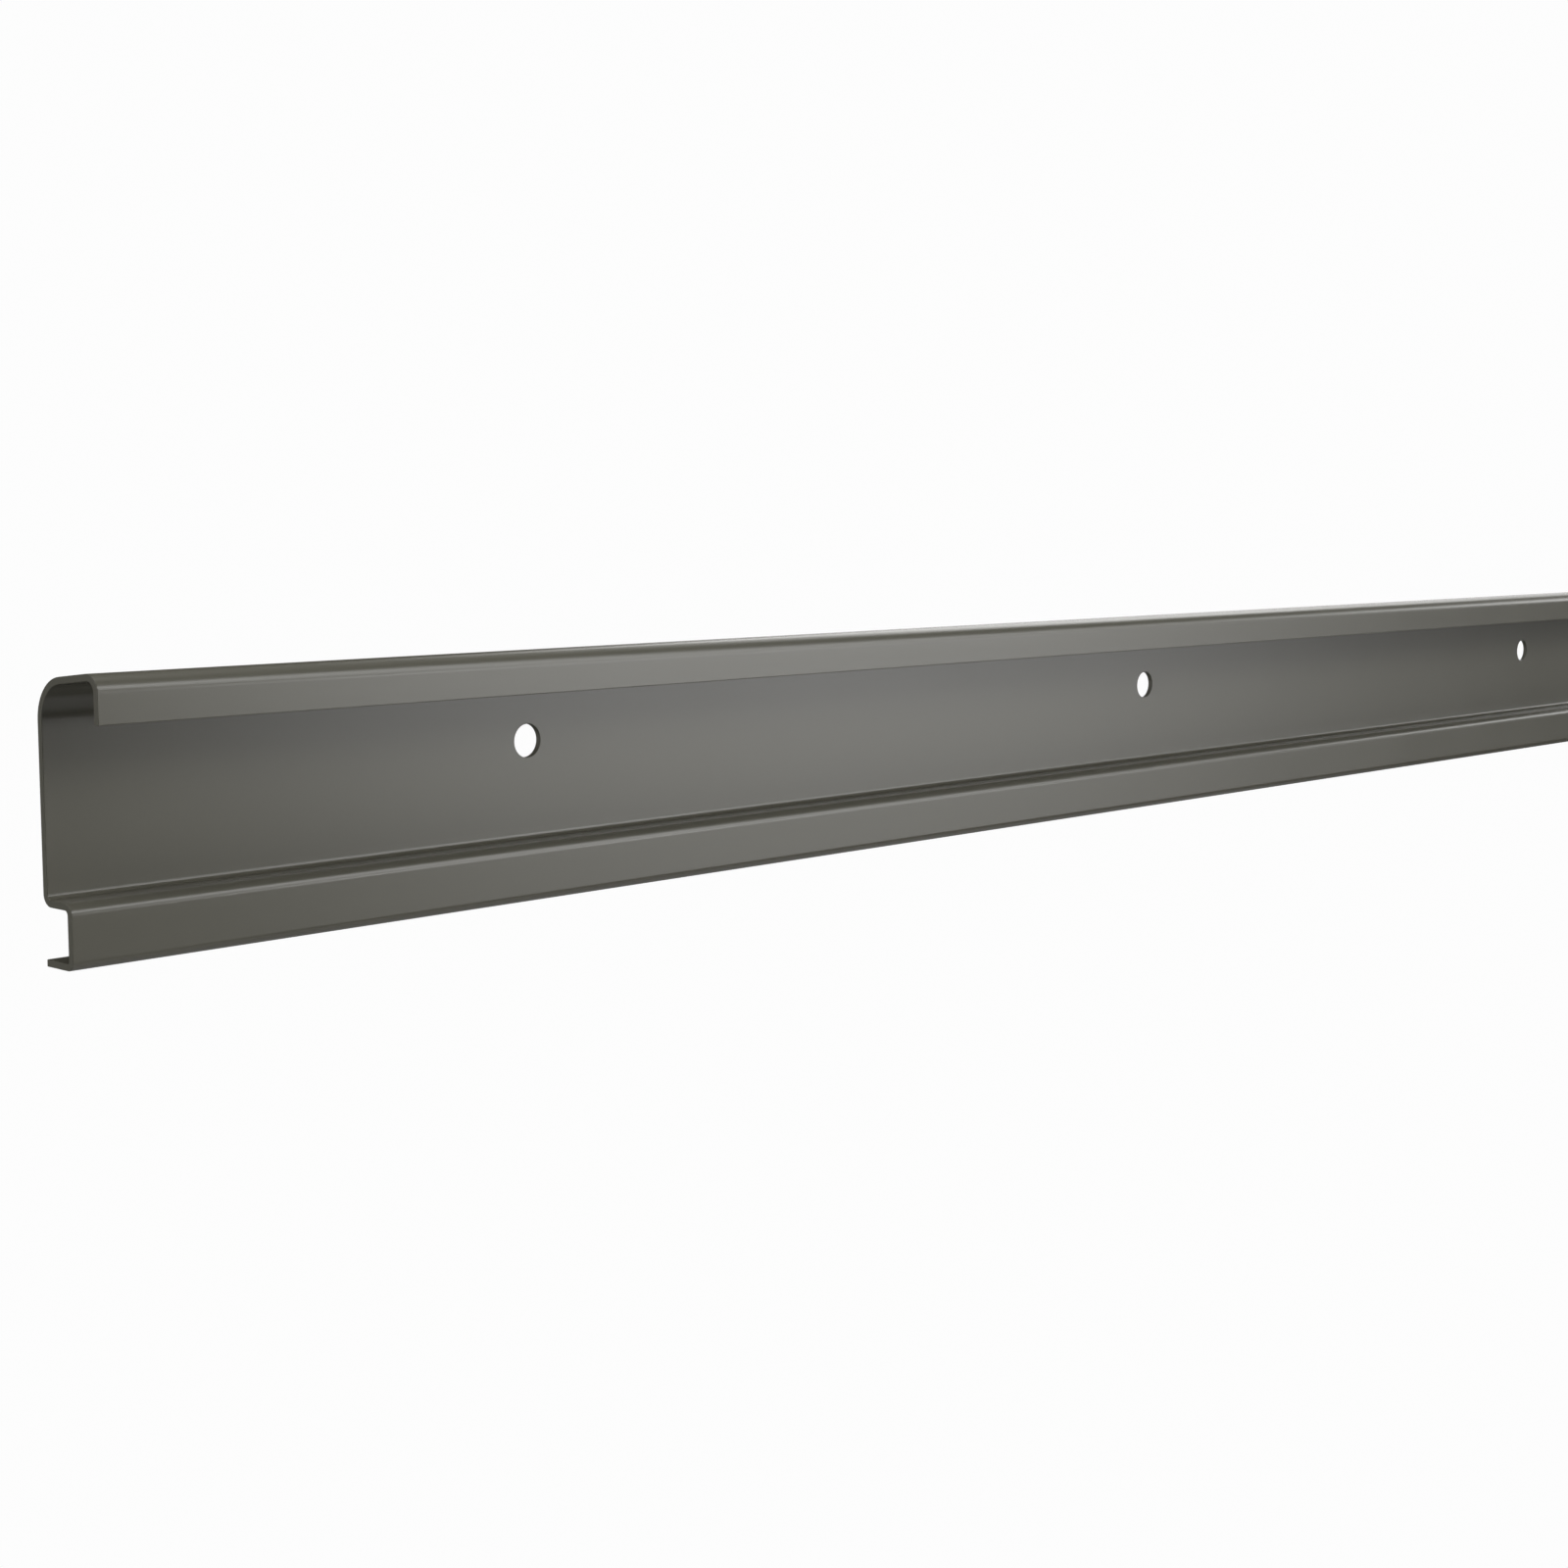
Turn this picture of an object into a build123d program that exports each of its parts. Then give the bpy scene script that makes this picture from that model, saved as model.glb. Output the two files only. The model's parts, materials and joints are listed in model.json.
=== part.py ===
from build123d import *
from math import cos, radians, tan
import os

# A hang track: one strip of sheet steel, roll-formed to a constant section, punched with a row of screw holes
# and cut to length. It is screwed flat to a wall, and upright shelf standards hook over its front lip.
#
# The section, from the top: the hook (its lip hanging down in front, its top sloping back to the wall), the
# web that lies on the wall, the step, the leg, and the foot that turns back towards the wall.
#
# Frame, in millimetres: +X along the track, +Y into the wall, +Z up.
# The origin is the centre of the middle screw hole, on the wall plane, so the back of the web is at Y = 0.

# ---- driving dimensions -------------------------------------------------------------------------------------

# along the track
hole_pitch = 203.2              # screw holes, centre to centre
hole_count = 3
end_margin = 101.6              # end hole's centre to the cut end
hole_diameter = 6.35            # clears a 6 mm screw

# across the section
sheet_thickness = 1.2
section_height = 47.6           # bottom of the foot to the crest of the hook
hook_reach = 17.7               # wall plane to the front face of the hook's lip
lip_drop = 7.9                  # crest of the hook to the lip's free edge
top_slope = 6.0                 # degrees that the hook's top rises towards the front
step_rise = 9.7                 # bottom of the foot to the underside of the step
hole_rise = 29.4                # bottom of the foot to the screw holes' centres
leg_reach = 8.2                 # wall plane to the front face of the leg
foot_gap = 0.5                  # the foot's free edge stops this far short of the wall

# inside radii of the five bends
nose_bend = 1.8                 # lip to top
shoulder_bend = 6.0             # top to web
step_bend = 0.9                 # web to step
knee_bend = 0.8                 # step to leg
heel_bend = 0.4                 # leg to foot

# ---- derived ------------------------------------------------------------------------------------------------

length = (hole_count - 1) * hole_pitch + 2 * end_margin
foot_bottom = -hole_rise
crest = foot_bottom + section_height

# The section is drawn as the sheet's middle line, and thickened by half a sheet to each side.
half_sheet = sheet_thickness / 2
web_y = -half_sheet
lip_y = -hook_reach + half_sheet
leg_y = -leg_reach + half_sheet
foot_z = foot_bottom + half_sheet
step_z = foot_bottom + step_rise + half_sheet

# The crest is the top of the nose bend, so the hook's top leaves that bend a little lower, and its middle
# line would meet the lip's and the web's at these heights if the bends were sharp.
nose_radius = nose_bend + half_sheet
nose_centre_z = crest - half_sheet - nose_radius
rise = tan(radians(top_slope))
top_z_over_nose = nose_centre_z + nose_radius / cos(radians(top_slope))
nose_corner_z = top_z_over_nose + nose_radius * rise
shoulder_corner_z = nose_corner_z - (web_y - lip_y) * rise

# ---- the strip ----------------------------------------------------------------------------------------------

with BuildPart() as hang_track:
    # the roll-formed section, run half the length each way
    with BuildSketch(Plane.YZ):
        with BuildLine() as middle_line:
            FilletPolyline(
                (lip_y, crest - lip_drop),
                (lip_y, nose_corner_z),
                (web_y, shoulder_corner_z),
                (web_y, step_z),
                (leg_y, step_z),
                (leg_y, foot_z),
                (-foot_gap, foot_z),
                radius=[r + half_sheet for r in (nose_bend, shoulder_bend, step_bend, knee_bend, heel_bend)],
            )
        trace(middle_line.line, line_width=sheet_thickness)
    extrude(amount=length / 2, both=True)

    # the screw holes, punched through the web
    with BuildSketch(Plane.XZ):
        with GridLocations(hole_pitch, 0, hole_count, 1):
            Circle(hole_diameter / 2)
    extrude(amount=sheet_thickness, mode=Mode.SUBTRACT)

hang_track.part.label = "hang_track"

os.makedirs("parts", exist_ok=True)
export_step(hang_track.part, "parts/hang_track.step")

size = hang_track.part.bounding_box().size
print(f"hang_track: {size.X:.1f} x {size.Y:.1f} x {size.Z:.1f} mm, {hang_track.part.volume:.0f} mm3")
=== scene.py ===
# %% [markdown]
# # A roll-formed hang track
# The object is one strip of sheet steel. A mill punches screw holes in a flat blank, rolls the blank to a
# constant section, cuts it to length and coats it satin warm grey. The model is made in much the same way: a
# flat blank in numpy, the holes in it, and then one formula that bends every point of the blank at once.
#
# A modelling program could extrude the section and cut the holes with a boolean instead. That leaves long
# slivers round each hole and no softened edges, and both show as soon as light grazes the sheet.

import json
import math

import bmesh
import bpy
import numpy as np
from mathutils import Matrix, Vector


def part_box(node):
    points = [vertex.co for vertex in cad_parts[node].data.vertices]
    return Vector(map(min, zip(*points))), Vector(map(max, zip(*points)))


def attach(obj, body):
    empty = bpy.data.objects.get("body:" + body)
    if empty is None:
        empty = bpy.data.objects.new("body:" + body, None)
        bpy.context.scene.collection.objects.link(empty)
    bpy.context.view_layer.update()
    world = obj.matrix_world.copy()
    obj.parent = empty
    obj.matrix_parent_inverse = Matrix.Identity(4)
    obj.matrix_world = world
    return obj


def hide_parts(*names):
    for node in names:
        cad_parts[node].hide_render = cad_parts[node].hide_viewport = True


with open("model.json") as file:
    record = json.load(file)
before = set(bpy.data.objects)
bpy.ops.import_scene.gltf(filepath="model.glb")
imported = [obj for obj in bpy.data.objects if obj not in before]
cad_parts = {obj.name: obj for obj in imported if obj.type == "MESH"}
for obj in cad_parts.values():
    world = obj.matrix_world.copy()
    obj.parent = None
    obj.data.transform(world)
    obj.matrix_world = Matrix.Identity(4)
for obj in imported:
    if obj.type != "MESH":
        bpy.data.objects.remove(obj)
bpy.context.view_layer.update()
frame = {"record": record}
low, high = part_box("hang_track")
mounts = {m["name"]: m for m in frame["record"]["mounts"]}
print("CAD box in mm:", [round(1000 * v, 2) for v in (*low, *high)])

# %% [markdown]
# ## The sizes of the section
# The frame gives the overall length, height and depth, and the record's mounts give the screw holes and the
# sheet's thickness. Only the sizes inside the section are left to name. They are in millimetres, as a
# sheet-metal drawing has them, and Blender's metres come in at the very end.

# %% Driving sizes
MM = 0.001

length = (high[0] - low[0]) / MM
hook_front, wall_plane = low[1] / MM, 0.0
foot_bottom, crest = low[2] / MM, high[2] / MM
hole_radius = mounts["wall_screws"]["dims"]["hole_r_mm"]
hole_reach = mounts["wall_screws"]["dims"]["spacing_x_mm"] / 2
hole_centres = (-hole_reach, 0.0, hole_reach)
hole_z = 0.0            # the holes are level with the frame's origin
sheet = mounts["middle_screw"]["dims"]["length_mm"]

lip_drop = 7.9          # crest to the free edge of the hook's lip
top_slope = 6.0         # degrees, the hook's top rising towards the front
step_rise = 9.7         # foot's underside to the step's underside
leg_reach = 8.2         # wall plane to the leg's front face
foot_gap = 0.5          # foot's free edge to the wall plane
nose, shoulder, step, knee, heel = 1.8, 6.0, 0.9, 0.8, 0.4      # inside bend radii, lip to foot
edge_round = 0.15       # what shearing, punching and the coating leave of every sharp edge
print(f"strip {length:.1f} long, sheet {sheet:.2f}, holes of {2 * hole_radius:.2f} at {hole_centres}")

# %% [markdown]
# ## The middle line
# Sheet bends about its middle: the outside of a bend stretches, the inside shrinks, and the middle line keeps
# its length. So the section is drawn as that middle line, a chain of straight runs and arcs. The arcs come
# from the corners in the usual way of a fillet: an arc of radius r that turns by an angle a eats
# r * tan(a / 2) off the straight run on each side of its corner.

# %% Corners and bend radii of the middle line
half = sheet / 2
web_y, lip_y, leg_y = wall_plane - half, hook_front + half, wall_plane - leg_reach + half
foot_z, step_z = foot_bottom + half, foot_bottom + step_rise + half
slope = math.radians(top_slope)
nose_middle = nose + half
nose_centre_z = crest - half - nose_middle
nose_corner_z = nose_centre_z + nose_middle / math.cos(slope) + nose_middle * math.tan(slope)
corners = np.array([
    (lip_y, crest - lip_drop),
    (lip_y, nose_corner_z),
    (web_y, nose_corner_z - (web_y - lip_y) * math.tan(slope)),
    (web_y, step_z),
    (leg_y, step_z),
    (leg_y, foot_z),
    (wall_plane - foot_gap, foot_z),
])
radii = np.array([nose, shoulder, step, knee, heel]) + half


def fillet_chain(corners, radii):
    """The chain of a filleted polyline, as three arrays with one entry for each run: its length, its
    curvature and the heading that it starts with. A straight run has curvature 0, and an arc's is plus or
    minus one over its radius, by the side it turns to."""
    leg = np.diff(corners, axis=0)
    size = np.hypot(leg[:, 0], leg[:, 1])
    heading = np.unwrap(np.arctan2(leg[:, 1], leg[:, 0]))
    turn = np.diff(heading)
    eaten = radii * np.tan(np.abs(turn) / 2)
    straight = size - np.append(eaten, 0) - np.append(0, eaten)
    lengths = np.zeros(2 * len(leg) - 1)
    curvature, headings = np.zeros_like(lengths), np.zeros_like(lengths)
    lengths[0::2], lengths[1::2] = straight, radii * np.abs(turn)
    curvature[1::2] = np.sign(turn) / radii
    headings[0::2], headings[1::2] = heading, heading[:-1]
    return lengths, curvature, headings


run_lengths, run_curvature, run_heading = fillet_chain(corners, radii)
run_start = np.append(0, np.cumsum(run_lengths))
blank_width = run_start[-1]
print(f"blank {blank_width:.2f} wide, runs {np.round(run_lengths, 2)}")

# %% [markdown]
# ## Bending the blank
# A point of the flat blank has three coordinates: x along the strip, s across the blank, and n out of the
# sheet's middle towards the face that the mill's upper rolls touch. Bending keeps x, walks s along the middle
# line, and steps n sideways from it. Inside one run of curvature k that starts at p with heading h, a walk of
# d lands at p + (sin(h + k d) - sin h, cos h - cos(h + k d)) / k, and at p + d (cos h, sin h) where k is 0.

# %% The bend as one formula over whole arrays
def walk(heading, curvature, distance):
    """Where a walk of a distance along a run of that heading and curvature ends, from the run's start."""
    bent = curvature != 0
    k = np.where(bent, curvature, 1)
    arc = np.stack([np.sin(heading + k * distance) - np.sin(heading),
                    np.cos(heading) - np.cos(heading + k * distance)], -1) / k[..., None]
    line = np.stack([np.cos(heading), np.sin(heading)], -1) * distance[..., None]
    return np.where(bent[..., None], arc, line)


run_ends = walk(run_heading, run_curvature, run_lengths)
run_point = corners[0] + np.vstack([(0, 0), np.cumsum(run_ends, axis=0)[:-1]])


def bend(blank):
    """The formed place of blank points (x, s, n): s walks the middle line, n steps to its right-hand side.
    Returns the points and the two unit directions of the section there, along s and along n."""
    x, s, n = blank.T
    run = np.clip(np.searchsorted(run_start, s, side="right") - 1, 0, len(run_lengths) - 1)
    d = s - run_start[run]
    yz = run_point[run] + walk(run_heading[run], run_curvature[run], d)
    heading = run_heading[run] + run_curvature[run] * d
    along = np.stack([np.zeros_like(s), np.cos(heading), np.sin(heading)], 1)
    across = np.stack([np.zeros_like(s), np.sin(heading), -np.cos(heading)], 1)
    return np.column_stack([x, yz]) + across * n[:, None], along, across


foot_end = bend(np.array([[0, blank_width, 0]]))[0][0]
print("the walk ends at", np.round(foot_end[1:], 3), "and the drawing at", corners[-1])

# %% [markdown]
# ## The grid of the blank
# Long thin faces are harmless on flat sheet, but a bend needs a line every few degrees, and a hole needs
# rings of faces round it. So each run gets its own spacing, and the web gets a square block of even cells
# round each hole, which the hole's rings will replace.

# %% Lines across and along the blank
BEND_STEP = math.radians(6)     # turn between two lines of a bend
FLAT_STEP = 2.0                 # lines across a flat run, mm
LONG_STEP = 8.0                 # lines along the strip, mm
BLOCK = 6.0                     # half the side of the block round a hole, mm
BLOCK_CELLS = 18                # cells along the block's side
ROUND_STEPS = 3                 # faces round each softened edge
WEB = 4                         # the web is the fifth run of the section
PLACES = 6                      # decimals of a millimetre that tell two lines apart
HAIR = 1e-6                     # mm, less than any gap between two lines


def lines(start, stop, step):
    """Evenly spaced values from start to stop, about a step apart."""
    return np.linspace(start, stop, max(1, round(abs(stop - start) / step)) + 1)


hole_s = run_start[WEB] + run_point[WEB][1] - hole_z
block_s = np.linspace(hole_s - BLOCK, hole_s + BLOCK, BLOCK_CELLS + 1)
across_lines = [np.array([edge_round, blank_width - edge_round]), block_s]
for start, size, k in zip(run_start, run_lengths, run_curvature):
    cell = BEND_STEP / abs(k) if k else FLAT_STEP
    across_lines.append(lines(start, start + size, cell))
s_lines = np.unique(np.round(np.concatenate(across_lines), PLACES))
inside = (s_lines > edge_round - HAIR) & (s_lines < blank_width - edge_round + HAIR)
in_block = (s_lines > block_s[0]) & (s_lines < block_s[-1]) & ~np.isin(s_lines, np.round(block_s, PLACES))
s_lines = s_lines[inside & ~in_block]

end_x = length / 2 - edge_round
block_x = [np.linspace(x - BLOCK, x + BLOCK, BLOCK_CELLS + 1) for x in hole_centres]
gaps = np.array([-end_x, *(b[i] for b in block_x for i in (0, -1)), end_x]).reshape(-1, 2)
between = [lines(a, b, LONG_STEP) for a, b in gaps]
x_lines = np.unique(np.round(np.concatenate(block_x + between), PLACES))
print(len(s_lines), "lines across and", len(x_lines), "along")

# %% [markdown]
# ## The skin as one grid
# Cut across, the blank is a long thin rectangle with softened corners. Every point of that outline is a
# centre plus edge_round times a unit normal, and the outline closes on itself. So front face, long edges and
# back face are one grid: outline points one way, stations along the strip the other. At the two cut ends the
# same normal leans over towards x while it shrinks, which rounds the ends with no extra shape:
# centre + edge_round * cos t * normal across the strip, and edge_round * sin t along x. Two strips of faces
# then close the ends.

# %% Outline of the flat blank, and the skin
def outline_of_blank():
    """Centres and unit normals, both (s, n), once round the blank's cross-section: the face at +n with s
    rising, the far edge, the face at -n with s falling, and the near edge."""
    quarter = np.linspace(0, math.pi / 2, ROUND_STEPS + 1)[1:-1]
    near, far, deep = s_lines[0], s_lines[-1], half - edge_round
    parts = []
    for side, s in ((1, s_lines), (-1, s_lines[::-1])):
        face = np.column_stack([s, np.full_like(s, side * deep), np.zeros_like(s), np.full_like(s, side)])
        tips = np.concatenate([quarter, [math.pi / 2]])
        edge_s, out = (far, 1) if side == 1 else (near, -1)
        first = np.column_stack([np.full_like(tips, edge_s), np.full_like(tips, side * deep),
                                 out * np.sin(tips), side * np.cos(tips)])
        second = first[::-1] * (1, -1, 1, -1)
        parts += [face, first, second]
    rows = np.concatenate(parts)
    return rows[:, :2], rows[:, 2:]


def grid_faces(rows, columns, closed=False):
    """The quads of a grid of points numbered row by row, as an array of four corners each. A closed grid
    joins its last column to its first."""
    i = np.arange(rows * columns).reshape(rows, columns)
    right = np.roll(i, -1, axis=1) if closed else i[:, 1:]
    left = i if closed else i[:, :-1]
    return np.stack([left[:-1], right[:-1], right[1:], left[1:]], -1)


def skin():
    """Blank points, blank normals and faces of the whole outside of the strip, less the hole blocks."""
    centre, normal = outline_of_blank()
    tilt = np.linspace(0, math.pi / 2, ROUND_STEPS + 1)[1:]
    station = np.concatenate([np.full(ROUND_STEPS, x_lines[0]), x_lines, np.full(ROUND_STEPS, x_lines[-1])])
    lean = np.concatenate([-tilt[::-1], np.zeros_like(x_lines), tilt])
    shape = (len(station), len(centre))
    flat_normal = np.empty(shape + (3,))
    flat_normal[..., 0] = np.sin(lean)[:, None]
    flat_normal[..., 1:] = np.cos(lean)[:, None, None] * normal
    points = np.empty(shape + (3,))
    points[..., 0] = station[:, None]
    points[..., 1:] = centre
    points += edge_round * flat_normal
    faces = grid_faces(*shape, closed=True)

    x, s = points[..., 0], points[..., 1]
    middle_x = (x[:-1] + x[1:]) / 2
    middle_s = (s + np.roll(s, -1, axis=1))[:-1] / 2
    on_face = (np.abs(normal[:, 1]) == 1) & (np.abs(np.roll(normal[:, 1], -1)) == 1)
    keep = np.ones(faces.shape[:2], bool)
    for hole_x in hole_centres:
        keep &= ~(on_face & (np.abs(middle_x - hole_x) < BLOCK) & (np.abs(middle_s - hole_s) < BLOCK))

    front = np.arange(len(s_lines))
    back = front[::-1] + len(centre) // 2
    last = (shape[0] - 1) * shape[1]
    ends = [np.stack([front[:-1], back[:-1], back[1:], front[1:]], 1),
            last + np.stack([front[:-1], front[1:], back[1:], back[:-1]], 1)]
    return points.reshape(-1, 3), flat_normal.reshape(-1, 3), np.concatenate([faces[keep], *ends])


# %% [markdown]
# ## The punched holes
# Each hole is one more grid. It starts on the sides of its square block, closes in on a circle in rings,
# turns down over a softened rim, goes through the sheet and comes back out to the block's sides on the other
# face. Every point is a blend of the square and the circle, at the same angle from the hole's centre:
# spread * square + (1 - spread) * radius * (cos a, sin a).

# %% A hole through the blank
RINGS = 7                       # rings of faces between the block's sides and the rim


def hole(centre_x):
    """Blank points, blank normals and faces of the block round one hole, through to the other face."""
    side = np.linspace(-BLOCK, BLOCK, BLOCK_CELLS + 1)[:-1]
    corner = np.full_like(side, BLOCK)
    square = np.concatenate([np.column_stack(p) for p in
                             ((side, -corner), (corner, side), (-side, corner), (-corner, -side))])
    angle = np.arctan2(square[:, 1], square[:, 0])
    circle = np.column_stack([np.cos(angle), np.sin(angle)])

    quarter = np.linspace(0, math.pi / 2, ROUND_STEPS + 1)
    spread = np.concatenate([np.linspace(1, 0, RINGS + 1)[:-1], np.zeros_like(quarter)])
    inward = np.concatenate([np.zeros(RINGS), np.sin(quarter)])
    outward = np.concatenate([np.ones(RINGS), np.cos(quarter)])
    spread, inward = np.concatenate([spread, spread[::-1]]), np.concatenate([inward, inward[::-1]])
    outward = np.concatenate([outward, -outward[::-1]])
    depth = np.repeat((1, -1), RINGS + len(quarter))

    radius = hole_radius + edge_round * (1 - inward)
    flat = spread[:, None, None] * square + (1 - spread)[:, None, None] * radius[:, None, None] * circle
    points = np.empty(flat.shape[:2] + (3,))
    points[..., :2] = flat + (centre_x, hole_s)
    points[..., 2] = (depth * (half - edge_round) + edge_round * outward)[:, None]
    normals = np.empty_like(points)
    normals[..., :2] = -inward[:, None, None] * circle
    normals[..., 2] = outward[:, None]
    faces = grid_faces(*points.shape[:2], closed=True)[..., ::-1]
    return points.reshape(-1, 3), normals.reshape(-1, 3), faces.reshape(-1, 4)


# %% [markdown]
# ## From blank to strip
# The patches are stacked, bent together and put into one mesh. Where two patches meet their points coincide,
# so merging doubles closes the skin. The exact normals come from the formula as well: the blank's normal,
# turned by the same bend. Handing them to the mesh keeps the flats flat in the light, right up to each bend.

# %% Make the mesh
def strip_mesh(name):
    """The finished strip as a mesh in metres, with its blank coordinates and its exact normals kept on it."""
    patches = [skin(), *(hole(x) for x in hole_centres)]
    offset = np.cumsum([0] + [len(p[0]) for p in patches[:-1]])
    blank = np.concatenate([p[0] for p in patches])
    flat_normal = np.concatenate([p[1] for p in patches])
    faces = np.concatenate([p[2] + o for p, o in zip(patches, offset)])
    formed, along, across = bend(blank)
    normal = (flat_normal[:, :1] * (1, 0, 0) + flat_normal[:, 1:2] * along + flat_normal[:, 2:] * across)
    normal /= np.linalg.norm(normal, axis=1, keepdims=True)

    mesh = bpy.data.meshes.new(name)
    mesh.from_pydata(formed * MM, [], faces)
    for title, values in (("blank", blank * MM), ("exact_normal", normal), ("flat_normal", flat_normal)):
        mesh.attributes.new(title, "FLOAT_VECTOR", "POINT").data.foreach_set("vector", values.ravel())
    return mesh


mesh = strip_mesh("rolled_strip")
print(len(mesh.vertices), "points before merging,", len(mesh.polygons), "faces")

# %% Close the skin
MERGE = 0.001 * MM              # points closer than this are one point


def close_skin(mesh):
    """Merges the points that coincide, drops those in the hole blocks that no face uses, and gives every point
    its exact normal."""
    work = bmesh.new()
    work.from_mesh(mesh)
    bmesh.ops.remove_doubles(work, verts=work.verts, dist=MERGE)
    bmesh.ops.delete(work, geom=[v for v in work.verts if not v.link_faces], context="VERTS")
    open_edges = sum(not e.is_manifold for e in work.edges)
    volume = work.calc_volume(signed=True)
    work.to_mesh(mesh)
    work.free()
    exact = np.empty(3 * len(mesh.vertices))
    mesh.attributes["exact_normal"].data.foreach_get("vector", exact)
    mesh.shade_smooth()
    mesh.normals_split_custom_set_from_vertices(exact.reshape(-1, 3))
    mesh.attributes.remove(mesh.attributes["exact_normal"])
    return open_edges, volume


open_edges, volume = close_skin(mesh)
print(f"{len(mesh.vertices)} points, {open_edges} open edges, volume {volume / MM ** 3:.0f} cubic mm")

strip = bpy.data.objects.new("rolled_strip", mesh)
bpy.context.scene.collection.objects.link(strip)

# %% [markdown]
# ## The coating
# The strip is painted: a dark warm grey under a fairly smooth skin of binder. Light that goes into the film
# comes back coloured, and light that the skin turns back is not. So a part that mirrors nothing bright looks
# olive, and a part that mirrors a lamp looks nearly neutral. A non-metal shader does just that, with the
# paint's own colour as its base.
#
# No film is quite even. It dries with a faint orange peel and a fine grain, its colour and gloss drift a
# little from place to place, and the rolls leave faint lines along the sheet. Each of these is one noise over
# the blank's own coordinates, so it follows the sheet round every bend. The film is also darker and duller
# where the sheet was cut or punched, which is where the blank's own normal leans away from its two faces.

# %% Small node helpers
def add(tree, kind, settings=(), **inputs):
    """Adds one node. Settings are its own properties, and inputs are numbers or sockets to link, with an
    underscore for each space in the socket's name."""
    node = tree.nodes.new("ShaderNode" + kind)
    for name, value in dict(settings).items():
        setattr(node, name, value)
    for name, value in inputs.items():
        socket = node.inputs[int(name[1:]) if name[1:].isdigit() else name.replace("_", " ")]
        if isinstance(value, bpy.types.NodeSocket):
            tree.links.new(value, socket)
        else:
            socket.default_value = value
    return node


def calculate(tree, operation, *values):
    """One Math node, with its values in order, and its result socket back."""
    inputs = {f"_{i}": value for i, value in enumerate(values)}
    return add(tree, "Math", {"operation": operation}, **inputs).outputs[0]


def pattern(tree, place, scale, detail=2.0, stretch=(1, 1, 1)):
    """A noise between 0 and 1, with about scale waves to a metre. An axis with a stretch under 1 has fewer,
    so the pattern is drawn out along it."""
    drawn = add(tree, "VectorMath", {"operation": "MULTIPLY"}, _0=place, _1=stretch).outputs[0]
    return add(tree, "TexNoise", Vector=drawn, Scale=scale, Detail=detail).outputs[0]


# %% Coated steel
PAINT = (0.190, 0.184, 0.147)   # the paint's own colour
MEAN_ROUGHNESS = 0.25           # of its skin, on the faces
WAVES = {"peel": 420, "drift": 22, "grain": 5200, "lines": 1400}        # of each noise, to a metre
ALONG_STRIP = (0.004, 1, 1)     # stretch of the rolls' lines
PEEL_HEIGHT, LINE_HEIGHT = 1.5e-6, 0.6e-6                               # metres
DRIFT_TINT, GRAIN_TINT, CUT_TINT = 0.10, 0.08, -0.08                    # shares of the paint's colour
DRIFT_ROUGH, LINES_ROUGH, CUT_ROUGH = 0.05, 0.04, 0.15                  # added roughness


def coated_steel():
    """The strip's only material."""
    material = bpy.data.materials.new("coated_steel")
    material.use_nodes = True
    tree = material.node_tree
    shader = tree.nodes["Principled BSDF"]
    place = add(tree, "Attribute", {"attribute_name": "blank"}).outputs["Vector"]
    outward = add(tree, "Attribute", {"attribute_name": "flat_normal"}).outputs["Vector"]

    peel = pattern(tree, place, WAVES["peel"], detail=1.0)
    drift = pattern(tree, place, WAVES["drift"], detail=3.0)
    grain = pattern(tree, place, WAVES["grain"])
    rolled = pattern(tree, place, WAVES["lines"], stretch=ALONG_STRIP)
    facing = calculate(tree, "ABSOLUTE", add(tree, "SeparateXYZ", _0=outward).outputs["Z"])
    cut = calculate(tree, "SUBTRACT", 1.0, facing)

    darkest = 1 - (DRIFT_TINT + GRAIN_TINT) / 2
    value = calculate(tree, "MULTIPLY_ADD", drift, DRIFT_TINT, darkest)
    value = calculate(tree, "MULTIPLY_ADD", grain, GRAIN_TINT, value)
    value = calculate(tree, "MULTIPLY", value, calculate(tree, "MULTIPLY_ADD", cut, CUT_TINT, 1.0))
    colour = add(tree, "VectorMath", {"operation": "SCALE"}, _0=PAINT, Scale=value).outputs[0]
    tree.links.new(colour, shader.inputs["Base Color"])

    least = MEAN_ROUGHNESS - (DRIFT_ROUGH + LINES_ROUGH) / 2
    rough = calculate(tree, "MULTIPLY_ADD", drift, DRIFT_ROUGH, least)
    rough = calculate(tree, "MULTIPLY_ADD", rolled, LINES_ROUGH, rough)
    rough = calculate(tree, "MULTIPLY_ADD", cut, CUT_ROUGH, rough)
    tree.links.new(rough, shader.inputs["Roughness"])

    ribbed = add(tree, "Bump", Strength=1.0, Distance=LINE_HEIGHT, Height=rolled).outputs[0]
    peeled = add(tree, "Bump", Strength=1.0, Distance=PEEL_HEIGHT, Height=peel, Normal=ribbed).outputs[0]
    tree.links.new(peeled, shader.inputs["Normal"])
    return material


mesh.materials.append(coated_steel())
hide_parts("hang_track")
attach(strip, "root")

# %% [markdown]
# ## The camera
# The strip is seen from in front of its left end, a little above the hook, along a line that meets the wall
# at about 43 degrees, so that the section shows at the cut end and the far end runs out of the picture.

# %% Place the camera
FOCAL_LENGTH, SENSOR_WIDTH = 56.63, 36          # mm
VIEW_YAW = 47.17                # degrees from straight at the wall, turned towards +X
VIEW_PITCH = 6.37               # degrees down
PAST_END, BEFORE_HOOK, ABOVE_FOOT = 205.3, 334.0, 72.9      # mm from the near end, the hook's front, the foot
NEAREST, FURTHEST = 0.01, 50    # metres that the camera can see

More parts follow.
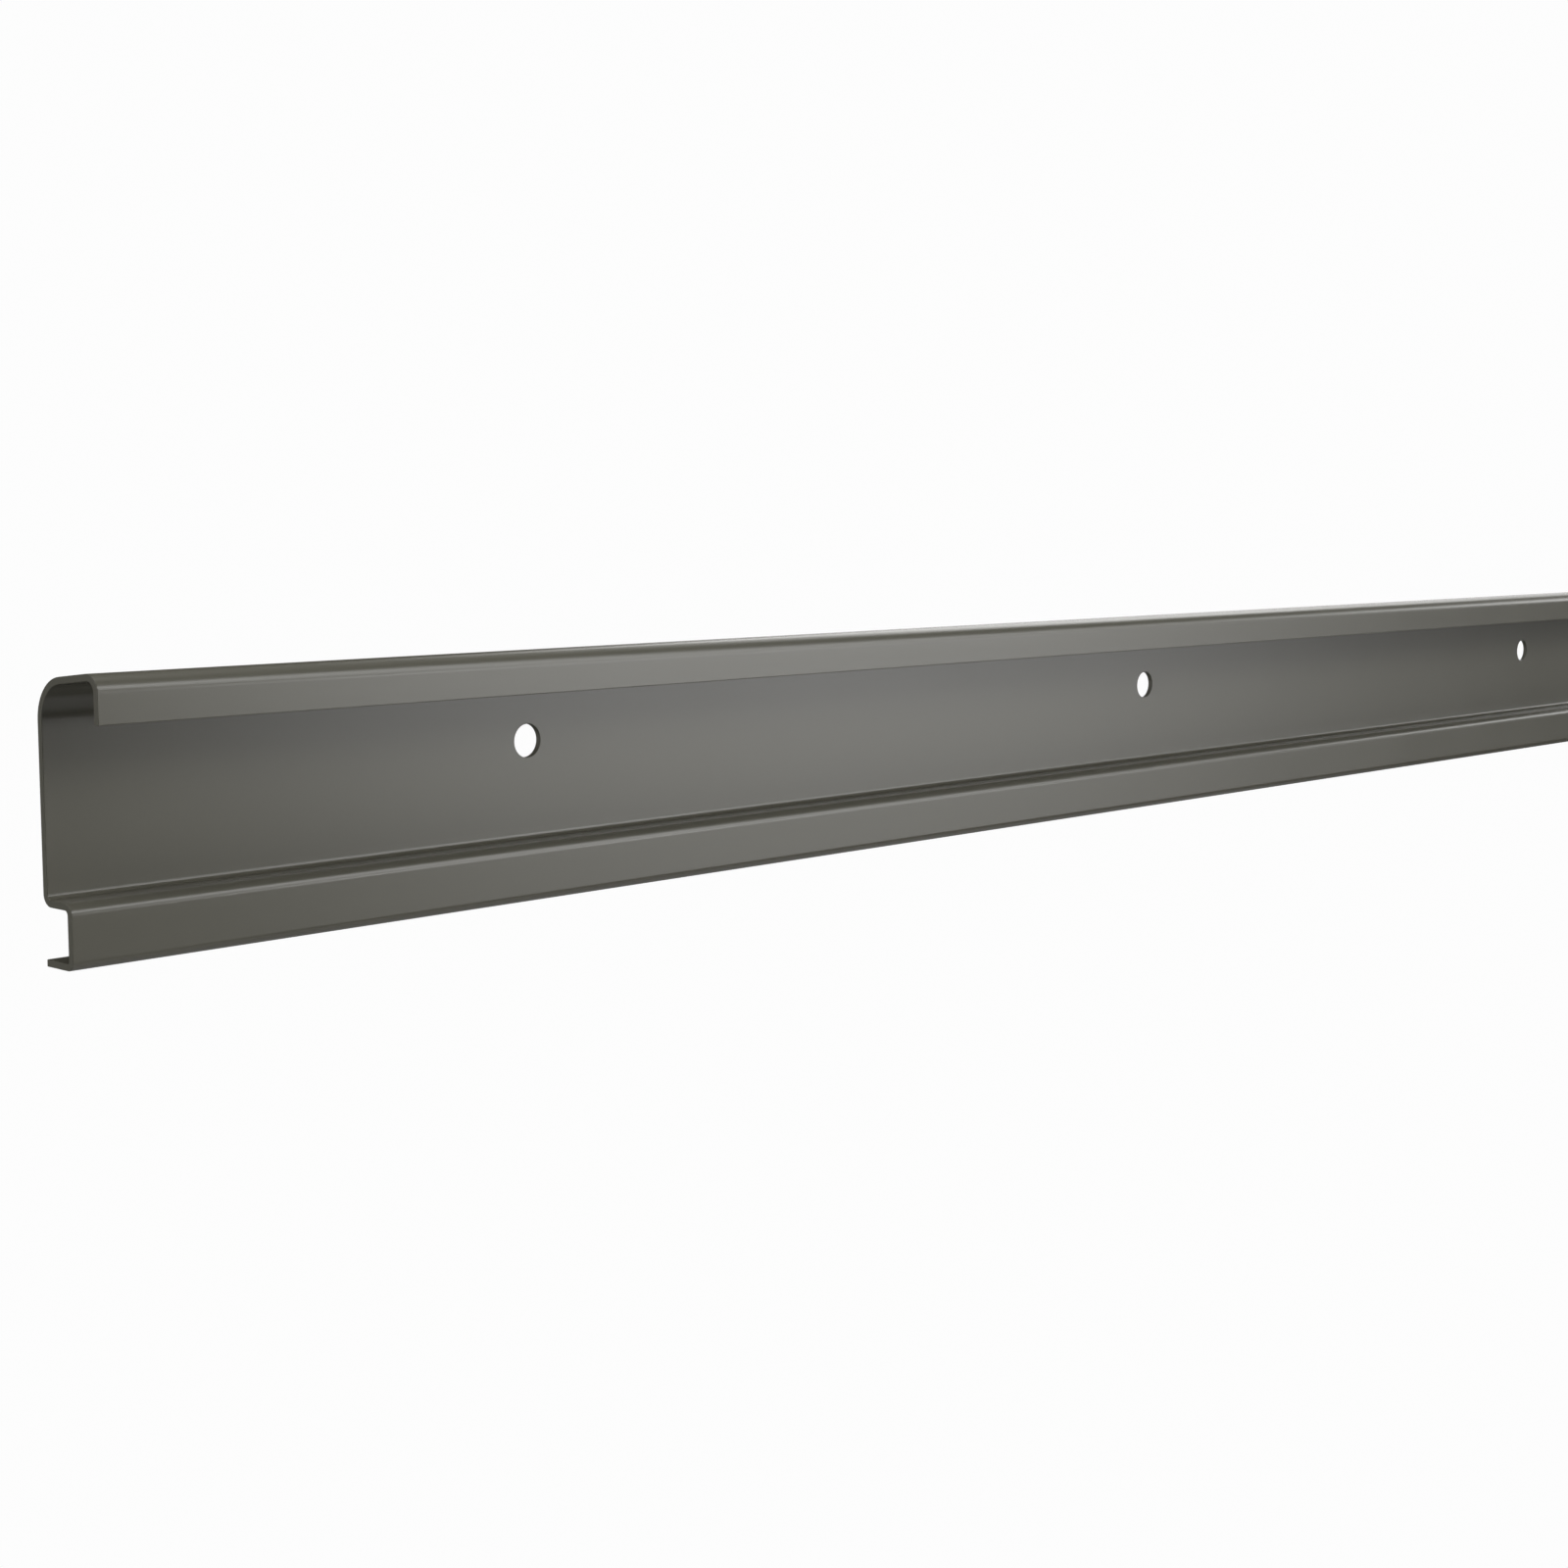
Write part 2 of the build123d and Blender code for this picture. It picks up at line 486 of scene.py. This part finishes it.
camera = bpy.data.objects.new("camera", bpy.data.cameras.new("camera"))
camera.data.lens, camera.data.sensor_width = FOCAL_LENGTH, SENSOR_WIDTH
camera.data.clip_start, camera.data.clip_end = NEAREST, FURTHEST
camera.location = (low[0] - PAST_END * MM, low[1] - BEFORE_HOOK * MM, low[2] + ABOVE_FOOT * MM)
camera.rotation_euler = (math.radians(90 - VIEW_PITCH), 0, math.radians(-VIEW_YAW))
bpy.context.scene.collection.objects.link(camera)
bpy.context.scene.camera = camera

# %% [markdown]
# ## The studio
# A satin strip is a poor mirror, so lighting it means choosing what it mirrors. The web, the lip and the leg
# all mirror a low patch of the studio off to the front right. The bends sweep on from there: the hook's nose
# up and round to the right, and the bend under the web down to the floor. So the studio is a black room with
# soft panels, painted on the sky. A bright panel lights every surface a little, but it shines only in those
# that mirror it. The key panels and those under and over them make the sheen on the flats, and it fades where
# they end. The panels on the right make the bright line along the nose. The broad one on the left lights the
# cut end and the foot. The rest fill in between, or only lift the shadows.
#
# A panel is given by its bearing (0 is straight out from the wall, positive towards +X), its height above the
# horizon, its half width, its half height, the softness of its edge, all in degrees, and its strength. The
# camera itself sees plain white.

# %% Soft panels
PANELS = {
    "key": (45, 0, 12, 5, 8, 4.2),
    "key, brighter end": (40, 2, 8, 4, 6, 2.9),
    "under the key": (47, -9, 8, 3, 6, 1.8),
    "over the key": (47, 14, 10, 5, 8, 4.6),
    "front top": (36, 27, 15, 8, 8, 4.4),
    "right band": (78, 13, 14, 5, 6, 4.2),
    "right side": (112, 16, 22, 8, 6, 1.6),
    "right top": (106, 34, 18, 7, 8, 4.0),
    "overhead": (0, 78, 180, 18, 16, 1.0),
    "left": (-100, 5, 40, 40, 20, 0.7),
    "from the floor": (60, -50, 80, 22, 10, 0.4),
}
PAPER = 0.98                    # white of the background and the floor, to the camera


def panel_light(tree, bearing, height, panel):
    """How strongly one panel shines in a direction: its strength inside, and smoothly down to 0 across its
    edge."""
    at, up, half_width, half_height, edge, strength = panel
    off = calculate(tree, "WRAP", calculate(tree, "SUBTRACT", bearing, at), 180.0, -180.0)
    above = calculate(tree, "SUBTRACT", height, up)
    shares = []
    for distance, reach in ((off, half_width), (above, half_height)):
        shares.append(add(tree, "MapRange", {"interpolation_type": "SMOOTHSTEP"},
                          Value=calculate(tree, "ABSOLUTE", distance), From_Min=reach + edge / 2,
                          From_Max=reach - edge / 2).outputs[0])
    return calculate(tree, "MULTIPLY", calculate(tree, "MULTIPLY", *shares), strength)


def studio(panels):
    """A world with the panels painted on a black room, and plain white for the camera."""
    world = bpy.data.worlds.new("studio")
    world.use_nodes = True
    tree = world.node_tree
    background = tree.nodes["Background"]
    background.inputs["Color"].default_value = (1, 1, 1, 1)
    toward = add(tree, "SeparateXYZ", _0=add(tree, "TexCoord").outputs["Generated"])
    x, y, z = (toward.outputs[axis] for axis in "XYZ")
    bearing = calculate(tree, "DEGREES", calculate(tree, "ARCTAN2", x, calculate(tree, "MULTIPLY", y, -1.0)))
    height = calculate(tree, "DEGREES", calculate(tree, "ARCSINE", z))
    light = 0.0
    for panel in panels.values():
        light = calculate(tree, "ADD", panel_light(tree, bearing, height, panel), light)
    by_camera = add(tree, "LightPath").outputs["Is Camera Ray"]
    seen = add(tree, "Mix", {"data_type": "FLOAT"}, _0=by_camera, _2=light, _3=PAPER).outputs[0]
    tree.links.new(seen, background.inputs["Strength"])
    return world


bpy.context.scene.world = studio(PANELS)
bpy.context.scene.view_settings.view_transform = "Standard"

# %% [markdown]
# ## The floor
# The strip stands on its foot on white paper as bright as the background, so no horizon shows. The paper
# glows by itself, evenly, so it carries no shadow, and the strip doesn't mirror it.

# %% White paper
def paper():
    """The floor's material: a plain even white."""
    material = bpy.data.materials.new("white_paper")
    material.use_nodes = True
    tree = material.node_tree
    tree.nodes.remove(tree.nodes["Principled BSDF"])
    glow = add(tree, "Emission", Color=(1, 1, 1, 1), Strength=PAPER)
    tree.links.new(glow.outputs[0], tree.nodes["Material Output"].inputs["Surface"])
    return material


PAPER_REACH = 20.0              # metres from the middle to each side
floor_mesh = bpy.data.meshes.new("floor")
sides = ((-1, -1), (1, -1), (1, 1), (-1, 1))
floor_mesh.from_pydata([(x * PAPER_REACH, y * PAPER_REACH, low[2]) for x, y in sides], [], [(0, 1, 2, 3)])
floor_mesh.materials.append(paper())
floor = bpy.data.objects.new("floor", floor_mesh)
floor.visible_glossy = floor.visible_diffuse = False
bpy.context.scene.collection.objects.link(floor)
